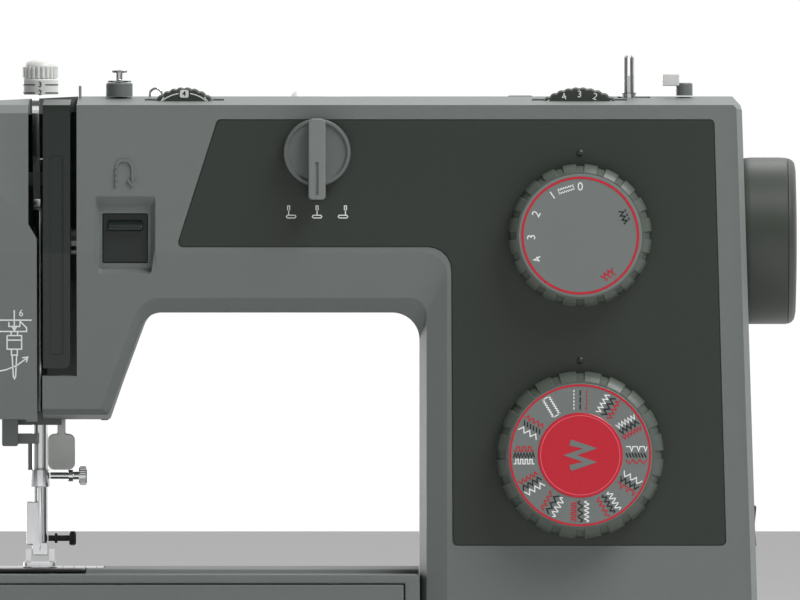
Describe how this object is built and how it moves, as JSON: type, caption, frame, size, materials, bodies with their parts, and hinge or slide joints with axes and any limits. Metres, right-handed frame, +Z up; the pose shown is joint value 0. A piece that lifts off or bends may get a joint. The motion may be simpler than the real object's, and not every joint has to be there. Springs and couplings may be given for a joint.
{
  "type": "sewing machine",
  "caption": "Mechanical household sewing machine: deep throat, free arm with slide-off tray, control dials, handwheel, needle, presser foot, thread and bobbin drives.",
  "frame": {"origin": "on the table, under the middle of the machine's box", "axes": "+X to the handwheel end, -Y to the person sewing, +Z up"},
  "size_m": [0.3888, 0.156, 0.3136],
  "materials": {
    "casing_grey": "fine grained moulded plastic, grey",
    "panel_dark": "fine grained moulded plastic, dark green grey",
    "dial_grey": "satin moulded plastic",
    "wheel_dark": "satin moulded plastic",
    "white_plastic": "smooth white plastic",
    "chrome": "polished chrome plate",
    "steel": "brushed steel",
    "cast_metal": "painted casting",
    "black_plastic": "black moulded plastic",
    "rubber": "matte black rubber"
  },
  "bodies": {
    "casing": {"front_cover": "casing_grey", "rear_cover": "casing_grey", "face_cover": "casing_grey", "thread_insert": "panel_dark", "control_panel": "panel_dark", "free_arm_cover": "casing_grey", "needle_plate": "steel", "base_cover": "cast_metal", "foot_front_left": "rubber", "foot_rear_left": "rubber", "foot_front_right": "rubber", "foot_rear_right": "rubber", "inner_frame": "cast_metal", "motor": "steel", "drive_belt": "rubber", "timing_belt": "rubber", "bobbin_case": "black_plastic", "winder_stopper": "white_plastic", "spool_pin": "white_plastic", "bobbin_thread_guide": "chrome", "wire_thread_guide": "chrome", "power_inlet": "black_plastic", "lamp": "white_plastic"},
    "main_drive": {"main_shaft": "steel", "handwheel": "wheel_dark", "drive_pulley": "black_plastic", "timing_pulley": "steel", "crank_disc": "steel"},
    "motor_rotor": {"motor_pulley": "steel"},
    "lower_drive": {"lower_shaft": "steel"},
    "hook": {"rotary_hook": "steel"},
    "bobbin": {"bobbin": "white_plastic"},
    "needle_bar": {"needle_bar": "chrome", "needle_clamp": "chrome", "needle_clamp_screw": "chrome", "needle": "chrome"},
    "take_up": {"take_up_lever": "chrome"},
    "presser_bar": {"presser_bar": "chrome", "foot_holder": "chrome", "foot_thumbscrew": "black_plastic"},
    "presser_foot": {"presser_foot": "chrome"},
    "presser_lifter": {"presser_lifter": "white_plastic"},
    "needle_threader": {"needle_threader": "black_plastic"},
    "pressure_dial": {"pressure_dial": "white_plastic"},
    "tension_dial": {"tension_dial": "dial_grey"},
    "width_dial": {"width_dial": "dial_grey"},
    "length_dial": {"length_dial": "dial_grey"},
    "pattern_dial": {"pattern_dial": "dial_grey"},
    "needle_position_knob": {"needle_position_knob": "dial_grey"},
    "reverse_lever": {"reverse_lever": "panel_dark"},
    "winder_arm": {"winder_arm": "black_plastic"},
    "winder_spindle": {"winder_spindle": "chrome"},
    "spool_cap": {"spool_cap": "white_plastic"},
    "carrying_handle": {"carrying_handle": "black_plastic"},
    "power_switch": {"power_switch": "black_plastic"},
    "bobbin_cover": {"bobbin_cover": "black_plastic"},
    "feed_dog": {"feed_dog": "steel"},
    "drop_feed_lever": {"drop_feed_lever": "black_plastic"},
    "accessory_tray": {"accessory_tray": "casing_grey"},
    "tray_lid": {"tray_lid": "casing_grey"}
  },
  "joints": [
    {"name": "main_spin", "type": "hinge", "parent": "casing", "child": "main_drive", "pos_m": [0.1, 0, 0.2316], "axis": [1, 0, 0], "continuous": true},
    {"name": "motor_spin", "type": "hinge", "parent": "casing", "child": "motor_rotor", "pos_m": [0.15, -0.01, 0.11], "axis": [1, 0, 0], "continuous": true},
    {"name": "lower_spin", "type": "hinge", "parent": "casing", "child": "lower_drive", "pos_m": [0, -0.02, 0.04], "axis": [1, 0, 0], "continuous": true},
    {"name": "hook_spin", "type": "hinge", "parent": "casing", "child": "hook", "pos_m": [-0.1404, -0.02, 0.05], "axis": [0, 0, 1], "continuous": true},
    {"name": "bobbin_spin", "type": "hinge", "parent": "casing", "child": "bobbin", "pos_m": [-0.1404, -0.02, 0.06], "axis": [0, 0, 1], "continuous": true},
    {"name": "needle_bar_slide", "type": "slide", "parent": "casing", "child": "needle_bar", "axis": [0, 0, 1], "range_m": [-0.03, 0]},
    {"name": "take_up_swing", "type": "hinge", "parent": "casing", "child": "take_up", "pos_m": [-0.1404, -0.012, 0.25], "axis": [1, 0, 0], "range_deg": [0, 54.1]},
    {"name": "presser_bar_slide", "type": "slide", "parent": "casing", "child": "presser_bar", "axis": [0, 0, 1], "range_m": [0, 0.0065]},
    {"name": "presser_foot_tilt", "type": "hinge", "parent": "presser_bar", "child": "presser_foot", "pos_m": [-0.1404, 0.007, 0.0934], "axis": [1, 0, 0], "range_deg": [-7, 0]},
    {"name": "presser_lift", "type": "hinge", "parent": "casing", "child": "presser_lifter", "pos_m": [-0.131, 0.0215, 0.1631], "axis": [0, -1, 0], "range_deg": [0, 40]},
    {"name": "threader_slide", "type": "slide", "parent": "casing", "child": "needle_threader", "axis": [0, 0, 1], "range_m": [-0.028, 0]},
    {"name": "pressure_turn", "type": "hinge", "parent": "casing", "child": "pressure_dial", "pos_m": [-0.1404, 0.013, 0.3], "axis": [0, 0, 1], "range_deg": [-120, 120]},
    {"name": "tension_turn", "type": "hinge", "parent": "casing", "child": "tension_dial", "pos_m": [-0.0762, -0.026, 0.281], "axis": [0, 1, 0], "range_deg": [-144, 180]},
    {"name": "width_turn", "type": "hinge", "parent": "casing", "child": "width_dial", "pos_m": [0.0982, -0.026, 0.2729], "axis": [0, 1, 0], "range_deg": [-90, 60]},
    {"name": "length_turn", "type": "hinge", "parent": "casing", "child": "length_dial", "pos_m": [0.0982, -0.062, 0.2342], "axis": [0, 1, 0], "range_deg": [-144.6, 119]},
    {"name": "pattern_turn", "type": "hinge", "parent": "casing", "child": "pattern_dial", "pos_m": [0.0982, -0.062, 0.1377], "axis": [0, 1, 0], "continuous": true},
    {"name": "needle_position_turn", "type": "hinge", "parent": "casing", "child": "needle_position_knob", "pos_m": [-0.0175, -0.062, 0.2707], "axis": [0, 1, 0], "range_deg": [-23, 23]},
    {"name": "reverse_press", "type": "hinge", "parent": "casing", "child": "reverse_lever", "pos_m": [-0.102, -0.03, 0.23295], "axis": [1, 0, 0], "range_deg": [0, 4.3]},
    {"name": "winder_shift", "type": "slide", "parent": "casing", "child": "winder_arm", "axis": [1, 0, 0], "range_m": [0, 0.0045]},
    {"name": "winder_spin", "type": "hinge", "parent": "winder_arm", "child": "winder_spindle", "pos_m": [0.1202, -0.01, 0.3], "axis": [0, 0, 1], "continuous": true},
    {"name": "spool_cap_slide", "type": "slide", "parent": "casing", "child": "spool_cap", "axis": [1, 0, 0], "range_m": [-0.038, 0]},
    {"name": "handle_lift", "type": "hinge", "parent": "casing", "child": "carrying_handle", "pos_m": [0.0045, 0.034, 0.2891], "axis": [1, 0, 0], "range_deg": [0, 90]},
    {"name": "switch_rock", "type": "hinge", "parent": "casing", "child": "power_switch", "pos_m": [0.1725, -0.039, 0.106], "axis": [0, 1, 0], "range_deg": [-8, 8]},
    {"name": "bobbin_cover_slide", "type": "slide", "parent": "casing", "child": "bobbin_cover", "axis": [0, 1, 0], "range_m": [-0.036, 0]},
    {"name": "drop_feed_shift", "type": "slide", "parent": "casing", "child": "drop_feed_lever", "axis": [1, 0, 0], "range_m": [0, 0.012]},
    {"name": "feed_dog_drop", "type": "slide", "parent": "casing", "child": "feed_dog", "axis": [0, 0, 1], "range_m": [-0.0025, 0]},
    {"name": "tray_slide", "type": "slide", "parent": "casing", "child": "accessory_tray", "axis": [1, 0, 0], "range_m": [-0.2, 0]},
    {"name": "tray_lid_open", "type": "hinge", "parent": "accessory_tray", "child": "tray_lid", "pos_m": [-0.08, -0.0607, 0.0128], "axis": [1, 0, 0], "range_deg": [0, 90]}
  ],
  "couplings": [
    {"joint": "motor_spin", "follows": "main_spin", "ratio": 4},
    {"joint": "lower_spin", "follows": "main_spin", "ratio": 1},
    {"joint": "hook_spin", "follows": "main_spin", "ratio": 2},
    {"joint": "take_up_swing", "follows": "needle_bar_slide", "rad_per_m": -31.45},
    {"joint": "presser_bar_slide", "follows": "presser_lift", "m_per_rad": 0.0086},
    {"joint": "feed_dog_drop", "follows": "drop_feed_shift", "ratio": -0.2083}
  ]
}
